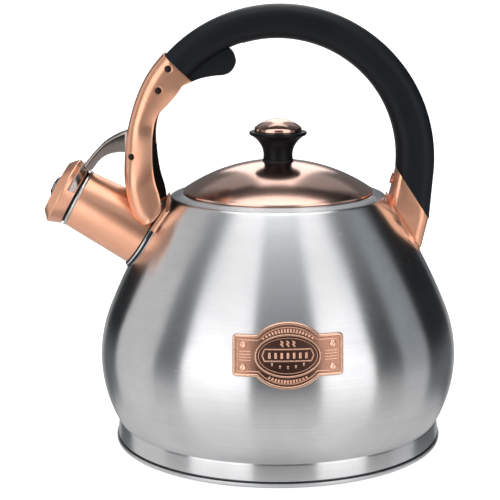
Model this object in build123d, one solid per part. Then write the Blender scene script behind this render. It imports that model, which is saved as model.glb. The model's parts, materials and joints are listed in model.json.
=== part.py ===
from build123d import *
import math
import os

# Stovetop whistling kettle. Millimetres, +Z up, spout toward -X, badge toward -Y.
# The origin is the middle of the flat underside.

# Body
body_r = 100.0              # widest radius
body_h = 140.3              # height of the flat seat round the mouth
belly_z = 0.344 * body_h    # height of the widest ring
neck_r = body_r - 9.5       # crease above the foot band
neck_z = 12.7
band_r = body_r - 8.5       # bottom of the foot band
floor_z = 3.3
upper_arc = 73.3            # first arc above the belly
upper_turn = 0.381          # radians it turns through
mouth_r = 47.5
lid_r = mouth_r + 5.4
shoulder_r = lid_r + 6.85
shoulder_z = body_h - 1.8
seat_r = shoulder_r - 6.0
shoulder_round = 4.5
wall = 0.8
mouth_flange = 7.0

# Base
base_r = body_r - 7.7
base_wall = 1.0
base_rim_z = 2.5
groove_r = base_r - 2.3

# Spout, along its own axis: s = 0 at the mouth, negative toward the body
spout_tilt = 28.9
spout_root_z = body_h - 24.1
spout_len = 43.0
spout_mouth_r = 16.4
spout_taper = math.tan(math.radians(3.3))
spout_wall = 1.0
lip_r = 0.8

# Handle
arch_x = 0.6
arch_z = body_h + 18.0
arch_out = 0.855 * body_r
arch_depth = 19.6
arch_in = arch_out - arch_depth
grip_w = 25.0
grip_round = 7.5
front_deg = 137.0
rear_deg = -4.6
sheet = 1.2
slot_skin = 4.6
fit = 0.05                  # radial clearance of turning pins
link_play = 0.3             # radial clearance where the linkage is open

# Trigger linkage
trig_x = arch_x - 0.766 * arch_out
trig_z = arch_z + 39.3
trig_w = 13.0
trig_arm = 6.4
lift_x = arch_x - 0.9427 * arch_out
lift_z = arch_z + 3.6
lift_arm = 4.0
lift_deg = 10.0
trig_pin_r = 1.5
lift_pin_r = 1.4
link_pin_r = 0.9
link_t = 3.0
arm_w = 11.0
arm_t = 1.0
arm_gap = 0.7
clip_t = 0.9

# Lid
lid_rise = 16.5
lid_rim = 1.1
lid_t = 0.8
seat_gap = 0.1
skirt_gap = 0.4
knob_r = 16.0
knob_h = 15.6
knob_waist = 8.0

# Badge
badge_x = 5.0
badge_z = 0.515 * body_h
badge_w = 56.0
badge_h = 32.5
badge_t = 1.2

RAY = (math.cos(math.radians(spout_tilt)), math.sin(math.radians(spout_tilt)))


def sheet_face(*edges):
    return Plane.XZ * make_face(list(edges))


def poly(*pts):
    return make_face(Polyline(*pts, close=True))


def slab(face, half):
    return extrude(Plane.XZ * face, half, both=True)


def pin(x, z, radius, half):
    return slab(Pos(x, z) * Circle(radius), half)


def ring(r_in, r_out, z0, z1):
    tube = Pos(0, 0, z0) * Cylinder(r_out, z1 - z0, align=(Align.CENTER, Align.CENTER, Align.MIN))
    if r_in > 0:
        tube -= Pos(0, 0, z0) * Cylinder(r_in, z1 - z0, align=(Align.CENTER, Align.CENTER, Align.MIN))
    return tube


def save(name, shape):
    export_step(shape, "parts/" + name + ".step")


# ---- body profile -------------------------------------------------------

def low_arc():
    drop = belly_z - neck_z
    inset = body_r - neck_r
    radius = (inset ** 2 + drop ** 2) / (2 * inset)
    return body_r - radius, radius


def up_centre():
    return body_r - upper_arc


def join(out):
    x = up_centre() + (upper_arc + out) * math.cos(upper_turn)
    z = belly_z + (upper_arc + out) * math.sin(upper_turn)
    return x, z


def top_arc():
    jx, jz = join(0)
    nx, nz = -math.cos(upper_turn), -math.sin(upper_turn)
    dx, dz = shoulder_r - jx, shoulder_z - jz
    radius = (dx * dx + dz * dz) / (2 * (dx * nx + dz * nz))
    return jx + radius * nx, jz + radius * nz, radius


def wall_at(z, out=0.0):
    """Radius of the upper wall at a height."""
    cx, cz, radius = top_arc()
    return cx + math.sqrt((radius + out) ** 2 - (z - cz) ** 2)


def height_at(r, out=0.0):
    """Height of the upper wall at a radius."""
    cx, cz, radius = top_arc()
    return cz + math.sqrt((radius + out) ** 2 - (r - cx) ** 2)


def arc_mid(cx, cz, radius, z0, z1):
    a = (math.asin((z0 - cz) / radius) + math.asin((z1 - cz) / radius)) / 2
    return cx + radius * math.cos(a), cz + radius * math.sin(a)


def wall_edges(out):
    """Neck to shoulder, moved outward by out."""
    lx, low = low_arc()
    tx, tz, top = top_arc()
    neck = (lx + math.sqrt((low + out) ** 2 - (neck_z - belly_z) ** 2), neck_z)
    belly = (body_r + out, belly_z)
    mid = join(out)
    end_a = math.asin((shoulder_z - tz) / top)
    end = (tx + (top + out) * math.cos(end_a), tz + (top + out) * math.sin(end_a))
    a = ThreePointArc(neck, arc_mid(lx, belly_z, low + out, neck_z, belly_z), belly)
    b = ThreePointArc(belly, arc_mid(up_centre(), belly_z, upper_arc + out, belly_z, mid[1]), mid)
    c = ThreePointArc(mid, arc_mid(tx, tz, top + out, mid[1], end[1]), end)
    return neck, end, [a, b, c]


def body_solid(out):
    """The belly as a plain solid, moved outward by out, for trimming what sits on it."""
    neck, end, edges = wall_edges(out)
    edges.append(Polyline(end, (0, end[1]), (0, neck_z), neck))
    return revolve(sheet_face(*edges), Axis.Z)


def vessel(out):
    neck, end, edges = wall_edges(out)
    top = body_h + out
    foot = floor_z - out
    edges.append(Polyline(end, (seat_r, top), (0, top), (0, foot), (band_r + out, foot), neck))
    face = make_face(edges)
    corner = face.vertices().sort_by_distance((end[0], end[1], 0))[0]
    face = fillet(corner, shoulder_round + out)
    return revolve(Plane.XZ * face, Axis.Z)


def spout_frame():
    root_x = -wall_at(spout_root_z)
    mx = root_x - spout_len * RAY[0]
    mz = spout_root_z + spout_len * RAY[1]
    return Plane(origin=(mx, 0, mz), x_dir=(0, -1, 0), z_dir=(-RAY[0], 0, RAY[1]))


SPOUT = spout_frame()


def spout_r(s):
    return spout_mouth_r - s * spout_taper


def spout_cone(inset, s0, s1):
    pts = [(0, s0), (spout_r(s0) - inset, s0), (spout_r(s1) - inset, s1), (0, s1)]
    return SPOUT.location * revolve(Plane.XZ * poly(*pts), Axis.Z)


def turned(*pts):
    """A profile of radius and distance along the spout, turned about the spout."""
    return SPOUT.location * revolve(Plane.XZ * poly(*pts), Axis.Z)


def body_shell():
    shell = vessel(0) - vessel(-wall)
    shell -= ring(0, mouth_r, body_h - 2 * wall, body_h + 1)
    shell += ring(mouth_r, mouth_r + wall, body_h - mouth_flange, body_h - wall)
    shell -= spout_cone(spout_wall, -spout_len - 25, -spout_len + 15)
    return shell


def heat_spreader():
    disc = ring(0, base_r - base_wall, base_wall, base_rim_z)
    edge = disc.edges().filter_by(GeomType.CIRCLE).sort_by(Axis.Z)[0]
    disc = chamfer(edge, 1.0)
    return disc + ring(0, groove_r, base_rim_z, floor_z)


def base_cap():
    cup = ring(0, base_r, 0, base_rim_z)
    edge = cup.edges().filter_by(GeomType.CIRCLE).sort_by(Axis.Z)[0]
    cup = fillet(edge, 1.6)
    pocket = ring(0, base_r - base_wall, base_wall, base_rim_z + 1)
    low = pocket.edges().filter_by(GeomType.CIRCLE).sort_by(Axis.Z)[0]
    cup -= chamfer(low, 1.0)
    for groove in (0.38, 0.56, 0.74):
        cup -= ring(groove * base_r, groove * base_r + 1.6, -1, 0.3)
    return cup


# ---- spout --------------------------------------------------------------

def spout_tube():
    tube = spout_cone(0, -spout_len - 12, -2 * lip_r)
    tube -= spout_cone(spout_wall, -spout_len - 13, 1)
    return tube - body_solid(0)


def spout_lip():
    r = spout_r(0) - spout_wall
    edge = [(r, -2 * lip_r), (r + 1.5, -2 * lip_r), (r + 1.5, 0), (r, 0)]
    return turned(*edge)


def spout_seal():
    band = body_solid(0.6) - body_solid(0)
    band &= spout_cone(-1.9, -spout_len - 14, -spout_len + 20)
    return band - spout_cone(0, -spout_len - 15, -spout_len + 21)


def spout_collar():
    band = body_solid(2.8) - body_solid(0.6)
    band &= spout_cone(-2.2, -spout_len - 14, -spout_len + 20)
    return band - spout_cone(0, -spout_len - 15, -spout_len + 21)


# ---- handle -------------------------------------------------------------

def arch_pt(radius, deg):
    a = math.radians(deg)
    return arch_x + radius * math.cos(a), arch_z + radius * math.sin(a)


def trig_pt(dx, dz):
    return trig_x + dx, trig_z + dz


def front_left(push):
    """Front edge of the bracket seen from the side, moved rearward by push."""
    x0 = arch_x - 0.987 * arch_out
    top = arch_pt(arch_out + 0.9, front_deg)
    return [
        (top[0] + push, top[1]),
        (trig_x - 9.2 + push, trig_z + 3.5),
        (trig_x - 16.1 + push, trig_z - 18.0),
        (x0 + push, lift_z),
        (x0 + 0.1 + push, lift_z - 18.5),
    ]


def front_side():
    left = front_left(0)
    tip = (trig_x - 8.9, spout_root_z + 8.0)
    foot_x = -wall_at(spout_root_z + 12.0)
    right = [
        (foot_x + 2.0, spout_root_z + 6.0),
        (trig_x + 1.2, lift_z - 22.6),
        (trig_x - 0.5, lift_z - 14.7),
        (trig_x - 2.9, lift_z + 2.5),
        (trig_x - 3.3, lift_z + 12.3),
        (trig_x, trig_z - 10.6),
        (trig_x + 7.4, trig_z - 3.6),
        (trig_x + 10.6, trig_z + 1.5),
        arch_pt(arch_in - 0.4, front_deg),
        left[0],
    ]
    lobe = (left[-1][0] + 2.7, tip[1] + 8.4)
    return make_face([
        Spline(*left),
        ThreePointArc(left[-1], lobe, tip),
        Line(tip, right[0]),
        Line(right[0], right[1]),
        Spline(*right[1:6]),
        Line(right[5], right[6]),
        Line(right[6], right[7]),
        Line(right[7], right[8]),
        Line(right[8], right[9]),
    ])


def flare(half_top, half_low):
    """Front view of the bracket: straight at the top, wider round the spout."""
    z_top = arch_z + 75.0
    z_bend = lift_z + 14.0
    z_wide = lift_z - 20.0
    z_low = spout_root_z - 20.0
    mid = (half_top + half_low) / 2
    right = Spline((half_top, z_bend), (mid, (z_bend + z_wide) / 2), (half_low, z_wide),
                   tangents=((0, -1), (0, -1)))
    left = Spline((-half_low, z_wide), (-mid, (z_bend + z_wide) / 2), (-half_top, z_bend),
                  tangents=((0, 1), (0, 1)))
    face = make_face([
        Line((-half_top, z_top), (half_top, z_top)),
        Line((half_top, z_top), (half_top, z_bend)),
        right,
        Line((half_low, z_wide), (half_low, z_low)),
        Line((half_low, z_low), (-half_low, z_low)),
        Line((-half_low, z_low), (-half_low, z_wide)),
        left,
        Line((-half_top, z_bend), (-half_top, z_top)),
    ])
    return extrude(Plane.YZ * face, 200, both=True)


def straddle():
    return spout_r(-spout_len) + 2.4


def bracket_cavity():
    left = front_left(1.15 * sheet)
    back = trig_x + 40.0
    low = spout_root_z - 15.0
    side = make_face([
        Spline(*left),
        Polyline(left[-1], (left[-1][0], low), (back, low), (back, left[0][1] + 12),
                 (left[0][0] + 10, left[0][1] + 12), left[0]),
    ])
    return slab(side, 60) & flare(grip_w / 2 - sheet, straddle() - sheet)


def front_bracket():
    shell = slab(front_side(), 60) & flare(grip_w / 2, straddle())
    shell -= bracket_cavity()
    shell -= body_solid(0)
    shell -= spout_cone(0, -spout_len - 20, 5)
    shell -= spout_cone(-2.4, -spout_len - 20, -spout_len + 5.5)
    opening = Box(20, arm_w + 2 * arm_gap, 19.5)
    shell -= Pos(lift_x - 6.0, 0, lift_z + 8.2) * opening
    shell -= pin(trig_x, trig_z, trig_pin_r, 30)
    shell -= pin(lift_x, lift_z, lift_pin_r, 30)
    for screw in grip_screw_axes():
        shell -= pin(screw[0], screw[1], 1.5, 30)
    return shell


def front_foot():
    pad = body_solid(1.6) - body_solid(0)
    pad &= Pos(trig_x - 2.4, 0, body_h) * Box(12, 80, 80)
    pad &= bracket_cavity()
    return pad - spout_cone(-2.4, -spout_len - 20, -spout_len + 20)


def grip_screw_axes():
    return [arch_pt(arch_out - 6.6, front_deg + 3.7)]


def arch_section():
    mid = (arch_out + arch_in) / 2
    return RectangleRounded(arch_depth, grip_w, grip_round), mid


def grip():
    section, mid = arch_section()
    start = Plane(origin=(arch_x + mid, 0, arch_z), x_dir=(1, 0, 0), z_dir=(0, 0, 1))
    turn = Axis((arch_x, 0, arch_z), (0, -1, 0))
    body = revolve(start * section, turn, front_deg)
    body += revolve(start * section, turn, rear_deg)
    end = arch_pt(mid, rear_deg)
    a = math.radians(rear_deg)
    leg = Plane(origin=(end[0], 0, end[1]), x_dir=(math.cos(a), 0, math.sin(a)),
                z_dir=(math.sin(a), 0, -math.cos(a)))
    body += extrude(leg * section, 40)
    body -= slab(poly(*below_diagonal()), 40) - rear_tongue()
    body += front_cheeks()
    body -= trigger_slot()
    body -= pin(*grip_screw_axes()[0], 1.5, 30)
    return body - rear_screw_hole()


def diagonal():
    inner = arch_pt(arch_in - 0.3, -4.2)
    outer = (arch_x + 0.97 * arch_out, arch_z - 32.0)
    return inner, outer


def below_diagonal():
    inner, outer = diagonal()
    dx, dz = outer[0] - inner[0], outer[1] - inner[1]
    far_in = (inner[0] - 0.5 * dx, inner[1] - 0.5 * dz)
    far_out = (outer[0] + 0.5 * dx, outer[1] + 0.5 * dz)
    return [far_in, far_out, (far_out[0], arch_z - 90), (far_in[0], arch_z - 90)]


def ferrule_side(inset):
    """Side view of the rear ferrule, drawn in by inset on its front and rear."""
    inner, outer = diagonal()
    foot = wall_at(spout_root_z + 19.5) - 0.2
    rear = wall_at(spout_root_z - 7.5) + 0.3
    return [
        (inner[0] + inset, inner[1] - 1.3 * inset),
        (outer[0] - inset, outer[1] + 1.3 * inset),
        (rear - inset, spout_root_z - 9.0),
        (rear - inset - 6.0, spout_root_z - 20.0),
        (foot + inset, spout_root_z - 20.0),
        (foot + inset, height_at(foot, 1.6)),
    ]


def rear_bracket():
    outer = slab(poly(*ferrule_side(0)), grip_w / 2)
    pocket = ferrule_side(sheet)
    pocket[0] = (pocket[0][0], pocket[0][1] + 3.0)
    pocket[1] = (pocket[1][0], pocket[1][1] + 3.0)
    inner = slab(poly(*pocket), grip_w / 2 - sheet)
    shell = outer - inner
    shell -= rear_screw_hole()
    return shell - body_solid(1.6)


def rear_tongue():
    side = ferrule_side(sheet + 0.4)
    end_z = side[1][1] - 2.0
    reach = [(side[0][0], side[0][1] + 2.0), (side[1][0], side[1][1] + 2.0), (side[1][0] - 0.3, end_z),
             (side[5][0], end_z + 9.0)]
    return slab(poly(*reach), grip_w / 2 - sheet - 0.4) - body_solid(1.6)


def rear_screw_frame():
    """Middle of the ferrule's inner face, pointing into the grip."""
    side = ferrule_side(0)
    top, low = side[0], side[5]
    x, z = 0.6 * top[0] + 0.4 * low[0], 0.6 * top[1] + 0.4 * low[1]
    run, rise = top[0] - low[0], top[1] - low[1]
    return Plane(origin=(x, 0, z), x_dir=(0, 1, 0), z_dir=(rise, 0, -run))


def rear_screw_hole():
    return rear_screw_frame().location * ring(0, 1.5, -2, 8)


def rear_screw():
    shank = ring(0, 1.5, 0, 8)
    head = ring(0, 3.0, -1.3, 0)
    head -= Pos(0, 0, -1.3) * Box(0.8, 7, 1.2)
    return rear_screw_frame().location * (shank + head)


def rear_foot():
    pad = body_solid(1.6) - body_solid(0)
    start = wall_at(spout_root_z - 7.6)
    end = wall_at(spout_root_z + 20.9)
    plan = Pos((start + end) / 2, 0) * RectangleRounded(start - end, grip_w + 9, 8)
    return pad & extrude(Plane.XY * plan, 400)


def front_cheeks():
    pts = []
    for radius, deg in ((arch_in + 1.6, 1), (arch_out - 2.0, 1), (arch_out - 2.0, -6.4), (arch_in + 1.6, -6.4)):
        pts.append(arch_pt(radius, front_deg - deg))
    block = slab(poly(*pts), grip_w / 2 - sheet)
    return block - slab(poly(*pts), trig_w / 2 + 0.8)


def trigger_slot():
    steps = [front_deg + 9, front_deg + 2, front_deg - 9, front_deg - 19, front_deg - 30]
    outer = [arch_pt(arch_out - slot_skin, d) for d in steps]
    inner = [arch_pt(arch_in - 12, d) for d in reversed(steps)]
    face = make_face([
        Spline(*outer),
        Line(outer[-1], inner[0]),
        Polyline(*inner),
        Line(inner[-1], outer[0]),
    ])
    return slab(face, trig_w / 2 + 0.8)


def grip_screws():
    x, z = grip_screw_axes()[0]
    far = grip_w / 2 + 0.7
    near = trig_w / 2 + 0.8
    body = slab(Pos(x, z) * Circle(1.5), grip_w / 2)
    heads = slab(Pos(x, z) * Circle(2.4), far)
    heads -= slab(Pos(x, z) * Circle(2.4), grip_w / 2)
    heads -= Pos(x, 0, z) * Box(0.7, 2 * far + 1, 3.2) - Pos(x, 0, z) * Box(1, 2 * far - 0.7, 4)
    return body + heads - slab(Pos(x, z) * Circle(3), near)


# ---- trigger linkage ----------------------------------------------------

def trig_eye():
    return trig_x - trig_arm, trig_z


def lift_eye():
    a = math.radians(lift_deg)
    return lift_x + lift_arm * math.cos(a), lift_z + lift_arm * math.sin(a)


def trigger():
    under = [trig_pt(3.2, -2.4), trig_pt(10.3, 1.0), trig_pt(22.0, 5.8), trig_pt(30.0, 7.4),
             trig_pt(35.6, 8.0), trig_pt(39.4, 10.0), trig_pt(41.7, 14.2), trig_pt(40.4, 19.5),
             trig_pt(37.6, 22.6)]
    upper = [trig_pt(37.6, 22.6), trig_pt(20.0, 14.5), trig_pt(8.0, 6.0), trig_pt(1.0, 3.9)]
    paddle = make_face([
        Spline(*under),
        Polyline(*upper),
        Line(upper[-1], under[0]),
    ])
    eye = trig_eye()
    side = paddle + Pos(trig_x, trig_z) * Circle(4.0) + Pos(*eye) * Circle(2.4)
    side += poly((eye[0], eye[1] + 2.3), (trig_x, trig_z + 3.8), (trig_x, trig_z - 3.8), (eye[0], eye[1] - 2.3))
    body = slab(side, trig_w / 2)
    fork = Pos(eye[0] - 1.0, 0, eye[1]) * Box(2 * 3.4, link_t + 0.8, 14)
    body -= fork
    body -= pin(trig_x, trig_z, trig_pin_r + fit, 20)
    return body - pin(*eye, link_pin_r, 20)


def link_rod():
    top = trig_eye()
    low = lift_eye()
    dx, dz = low[0] - top[0], low[1] - top[1]
    n = 1.3 / math.hypot(dx, dz)
    bar = poly((top[0] - n * dz, top[1] + n * dx), (low[0] - n * dz, low[1] + n * dx),
               (low[0] + n * dz, low[1] - n * dx), (top[0] + n * dz, top[1] - n * dx))
    side = bar + Pos(*top) * Circle(2.2) + Pos(*low) * Circle(2.1)
    body = slab(side, link_t / 2)
    body -= pin(*top, link_pin_r + fit, 20)
    return body - pin(*low, link_pin_r + link_play, 20)


def trigger_link_pin():
    return pin(*trig_eye(), link_pin_r, trig_w / 2)


def arm_link_pin():
    return pin(*lift_eye(), link_pin_r, arm_w / 2)


def trigger_pin():
    shank = pin(trig_x, trig_z, trig_pin_r, grip_w / 2)
    heads = pin(trig_x, trig_z, 2.1, grip_w / 2 + 0.6) - pin(trig_x, trig_z, 2.1, grip_w / 2)
    return shank + heads


def whistle_pin():
    shank = pin(lift_x, lift_z, lift_pin_r, 30)
    shank &= flare(grip_w / 2 + 0.5, straddle() + 0.5)
    return shank


def trigger_spring():
    mean = trig_pin_r + 1.5
    wire = 0.35
    start = trig_w / 2 + 0.7
    reach = grip_w / 2 - sheet - start - 0.3
    coil = Helix(reach / 4, reach, mean, center=(trig_x, start, trig_z), direction=(0, 1, 0))
    section = Plane(origin=coil @ 0, z_dir=coil % 0) * Circle(wire)
    return sweep(section, coil, is_frenet=True)


# ---- whistle ------------------------------------------------------------

def cap_outline(inset):
    rear, wide, front = spout_mouth_r + 0.6, spout_mouth_r + 3.2, spout_mouth_r - 1.5
    return [(0, 1.3), (rear - inset, 1.3), (wide - inset, 8.3 - 0.15 * inset),
            (front - 0.6 * inset, 12.6 - inset), (0, 12.6 - inset)]


def whistle_cap():
    cap = turned(*cap_outline(0)) - turned(*cap_outline(1.0))
    return cap - turned((0, 8), (1.6, 8), (1.6, 14), (0, 14))


def whistle_button():
    pts = [(1.0, 12.6), (6.0, 12.6), (5.6, 13.6), (3.6, 14.7), (1.0, 15.0)]
    return turned(*pts)


def disc_at(s0, s1):
    disc = turned((2.0, s0), (30, s0), (30, s1), (2.0, s1))
    return disc & turned(*cap_outline(1.0))


def whistle_seal():
    r_in, r_out = spout_mouth_r - 3.9, spout_mouth_r - 1.0
    lip = turned((r_in, 0.15), (r_out, 0.15), (r_out, 3.0), (r_in, 3.0))
    flange = turned((r_in, 2.6), (r_out + 15, 2.6), (r_out + 15, 4.6), (r_in, 4.6)) & turned(*cap_outline(1.0))
    return lip + flange


def arm_top():
    m = SPOUT.origin
    return [
        (m.X + 4.9, m.Z + 18.9),
        (m.X + 10.6, m.Z + 25.9),
        (m.X + 15.4, m.Z + 30.7),
        (lift_x - 10.5, lift_z + 10.0),
        (lift_x - 3.1, lift_z + 12.6),
    ]


def arm_low():
    m = SPOUT.origin
    return [
        (lift_x - 4.9, lift_z + 1.0),
        (lift_x - 11.0, lift_z + 0.8),
        (m.X + 15.3, m.Z + 23.0),
        (m.X + 11.8, m.Z + 19.4),
        (m.X + 9.4, m.Z + 15.9),
        (m.X + 6.9, m.Z + 15.4),
        (m.X + 4.4, m.Z + 16.4),
    ]


def arm_side():
    top, low = arm_top(), arm_low()
    tail = [(lift_x + 1.5, lift_z + 12.2), (lift_x + 5.4, lift_z + 4.5), (lift_x + 4.8, lift_z - 1.6),
            (lift_x + 1.2, lift_z - 2.7), (lift_x - 2.4, lift_z - 1.6)]
    return make_face([
        Spline(*top),
        Line(top[-1], tail[0]),
        Spline(*tail),
        Line(tail[-1], low[0]),
        Polyline(*low),
        Line(low[-1], top[0]),
    ])


def arm_clip():
    """The fork at the arm's end, wrapped over the rear of the cap."""
    rear, wide = spout_mouth_r + 0.6, spout_mouth_r + 3.2
    slope = (wide - rear) / 7.0
    near, far = 1.8, 5.6
    r_near, r_far = rear + slope * (near - 1.3), rear + slope * (far - 1.3)
    band = turned((r_near, near), (r_near + clip_t, near), (r_far + clip_t, far), (r_far, far))
    return band & SPOUT.location * (Pos(0, 0.25 * wide + 20, 4) * Box(60, 40, 20))


def whistle_arm():
    body = slab(arm_side(), arm_w / 2)
    top = [(x + 0.5 * arm_t, z - arm_t) for x, z in arm_top()]
    below = make_face([
        Spline(*top),
        Polyline(top[-1], (lift_x + 12, top[-1][1]), (lift_x + 12, lift_z - 20),
                 (top[0][0] - 12, lift_z - 40), top[0]),
    ])
    body -= slab(below, arm_w / 2 - arm_t)
    body -= Pos(lift_x + 8.0, 0, lift_z + 8) * Box(20, arm_w - 2 * arm_t, 40)
    body -= turned(*cap_outline(0))
    body += arm_clip()
    body -= pin(lift_x, lift_z, lift_pin_r + fit, 20)
    return body - pin(*lift_eye(), link_pin_r, 20)


# ---- lid ----------------------------------------------------------------

def dome(out):
    z0 = body_h + seat_gap + lid_rim
    radius = (lid_r ** 2 + lid_rise ** 2) / (2 * lid_rise)
    centre = z0 + lid_rise - radius
    apex = (0, centre + radius + out)
    edge_r = lid_r - 0.3
    edge = (edge_r, centre + math.sqrt((radius + out) ** 2 - edge_r ** 2))
    mid_r = edge_r / 2
    mid = (mid_r, centre + math.sqrt((radius + out) ** 2 - mid_r ** 2))
    return apex, mid, edge


def lid_cover(out, drop):
    apex, mid, edge = dome(out)
    face = make_face([
        ThreePointArc(apex, mid, edge),
        Polyline(edge, (edge[0], body_h - drop), (0, body_h - drop), apex),
    ])
    return revolve(Plane.XZ * face, Axis.Z)


def lid_shell():
    shell = lid_cover(0, 0) - lid_cover(-lid_t, 5)
    shell -= ring(0, lid_r + 5, 0, body_h + seat_gap)
    shell += ring(mouth_r - 1.5, lid_r, body_h + seat_gap, body_h + seat_gap + lid_rim)
    return shell - ring(0, 2.0, body_h, body_h + 40)


def lid_skirt():
    r = mouth_r - skirt_gap - 1.0
    top = body_h + seat_gap + lid_rim
    skirt = ring(r - 0.8, r, body_h - 13, top)
    return skirt - ring(mouth_r - 1.5, lid_r, body_h + seat_gap, top)


def lid_gasket():
    r = mouth_r - skirt_gap
    return ring(r - 1.0, r, body_h - 6.0, body_h - 1.5)


def knob_seat():
    return body_h + seat_gap + lid_rim + lid_rise + 0.5


def knob_washer():
    return ring(2.0, knob_waist + 0.6, knob_seat() - 3, knob_seat()) - lid_cover(0, 1)


def lid_knob():
    z0 = knob_seat()
    top = z0 + knob_h
    face = make_face([
        Polyline((2.0, top - 3), (2.0, z0), (knob_waist + 0.3, z0)),
        ThreePointArc((knob_waist + 0.3, z0), (knob_waist + 1.3, z0 + 7.2), (knob_r - 0.8, top - 2.2)),
        Polyline((knob_r - 0.8, top - 2.2), (knob_r, top - 1.4), (knob_r, top - 0.4), (knob_r - 0.4, top),
                 (0, top), (0, top - 3), (2.0, top - 3)),
    ])
    return revolve(Plane.XZ * face, Axis.Z)


def knob_cap():
    z0 = knob_seat() + knob_h
    r = knob_r - 2.9
    rise = 5.0
    edge_z = z0 + 2.0
    ball = (r ** 2 + rise ** 2) / (2 * rise)
    mid = (0.6 * r, edge_z + rise - ball + math.sqrt(ball ** 2 - (0.6 * r) ** 2))
    face = make_face([
        Polyline((0, edge_z + rise), (0, z0), (r, z0), (r, edge_z)),
        ThreePointArc((r, edge_z), mid, (0, edge_z + rise)),
    ])
    return revolve(Plane.XZ * face, Axis.Z)


def knob_screw():
    z0 = knob_seat()
    low = body_h + seat_gap + lid_rim + lid_rise - lid_t
    shank = ring(0, 2.0, low - 3.0, z0 + knob_h - 3)
    head = ring(0, 4.6, low - 3.4, low) & lid_cover(-lid_t, 5)
    head -= Pos(0, 0, low - 3.2) * Box(6, 1.0, 1.2)
    shank -= ring(0, 2.0, low - 4.0, low - 1.0)
    return shank + head


# ---- badge --------------------------------------------------------------

def front_only(face):
    return extrude(Plane.XZ * face, 200)


def badge_plan(grow):
    plate = Pos(badge_x, badge_z) * RectangleRounded(badge_w + 2 * grow, 0.62 * badge_h + 2 * grow, 2.2)
    oval = Pos(badge_x, badge_z) * Ellipse(0.36 * badge_w + grow, badge_h / 2 + grow)
    return plate + oval


def badge_plate():
    plate = body_solid(badge_t) - body_solid(0)
    plate &= front_only(badge_plan(0))
    return plate - front_only(Pos(badge_x, badge_z) * Ellipse(16.2, 9.8))


def badge_inlay():
    inlay = body_solid(0.7) - body_solid(0)
    return inlay & front_only(Pos(badge_x, badge_z) * Ellipse(16.2, 9.8))


def badge_rivets():
    heads = body_solid(badge_t + 0.8) - body_solid(badge_t)
    dots = Sketch()
    for side in (-1, 1):
        for up in (-1, 1):
            dots += Pos(badge_x + side * 22.8, badge_z + up * 5.5) * Circle(1.5)
    return heads & front_only(dots)


os.makedirs("parts", exist_ok=True)
save("body_shell", body_shell())
save("heat_spreader", heat_spreader())
save("base_cap", base_cap())
save("spout_tube", spout_tube())
save("spout_lip", spout_lip())
save("spout_seal", spout_seal())
save("spout_collar", spout_collar())
save("front_bracket", front_bracket())
save("front_foot", front_foot())
save("grip", grip())
save("rear_bracket", rear_bracket())
save("rear_foot", rear_foot())
save("rear_screw", rear_screw())
save("grip_screws", grip_screws())
save("trigger_pin", trigger_pin())
save("whistle_pin", whistle_pin())
save("trigger_spring", trigger_spring())
save("badge_plate", badge_plate())
save("badge_inlay", badge_inlay())
save("badge_rivets", badge_rivets())
save("trigger", trigger())
save("trigger_link_pin", trigger_link_pin())
save("link_rod", link_rod())
save("whistle_arm", whistle_arm())
save("whistle_cap", whistle_cap())
save("whistle_button", whistle_button())
save("whistle_disc_front", disc_at(9.4, 10.2))
save("whistle_disc_rear", disc_at(5.6, 6.4))
save("whistle_seal", whistle_seal())
save("arm_link_pin", arm_link_pin())
save("lid_shell", lid_shell())
save("lid_skirt", lid_skirt())
save("lid_gasket", lid_gasket())
save("lid_knob", lid_knob())
save("knob_washer", knob_washer())
save("knob_cap", knob_cap())
save("knob_screw", knob_screw())
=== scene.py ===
import json
import math

import bmesh
import bpy
from mathutils import Matrix, Vector


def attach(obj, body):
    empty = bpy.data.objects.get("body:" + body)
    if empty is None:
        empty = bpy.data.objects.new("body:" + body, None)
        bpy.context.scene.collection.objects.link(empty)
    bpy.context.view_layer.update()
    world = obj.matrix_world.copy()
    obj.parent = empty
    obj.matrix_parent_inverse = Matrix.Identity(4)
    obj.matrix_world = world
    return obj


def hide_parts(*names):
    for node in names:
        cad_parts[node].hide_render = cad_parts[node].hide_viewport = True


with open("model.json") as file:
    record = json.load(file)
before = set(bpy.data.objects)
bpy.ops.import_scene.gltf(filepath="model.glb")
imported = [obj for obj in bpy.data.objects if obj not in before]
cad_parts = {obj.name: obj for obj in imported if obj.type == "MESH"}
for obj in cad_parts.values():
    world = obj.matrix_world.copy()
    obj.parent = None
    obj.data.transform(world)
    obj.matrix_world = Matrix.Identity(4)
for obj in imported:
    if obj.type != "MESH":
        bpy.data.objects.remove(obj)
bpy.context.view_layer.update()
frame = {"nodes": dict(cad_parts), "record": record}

MM = 0.001

# ---- sizes shared with the CAD, in millimetres --------------------------
BODY_R = 100.0
BODY_H = 140.3
BELLY_Z = 0.344 * BODY_H
NECK_R, NECK_Z = 90.5, 12.7
BAND_R, FLOOR_Z = 91.5, 3.3
UPPER_ARC, UPPER_TURN = 73.3, 0.381
SHOULDER_R, SHOULDER_Z = 59.75, 138.5
WALL = 0.8
MOUTH_R, MOUTH_LIP = 47.5, 7.0
BASE_R, RIM_Z = 92.3, 2.5
ARCH = (0.6, 158.3)
ARCH_OUT, ARCH_IN = 85.5, 65.9
GRIP_W = 25.0
FRONT_DEG, REAR_DEG = 137.0, -4.6       # where the arch ends, front and rear
TRIG = (-64.893, 197.6)                 # pivots of trigger and whistle arm, and the grip's front screw
LIFT = (-80.0, 161.9)
SCREW = (-59.4, 209.3)
PIN_R, LIFT_PIN_R = 1.9, 1.7
MOUTH = (-112.214, 136.981)
TILT = math.radians(28.9)
SPOUT_R, TAPER, SPOUT_LEN = 16.4, math.tan(math.radians(3.3)), 43.0
STRADDLE = SPOUT_R + SPOUT_LEN * TAPER + 2.4
FLARE = (175.9, 141.9)
SHEET = 1.2
LID_R, LID_RISE, LID_EDGE = 52.9, 16.5, 1.1
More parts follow.
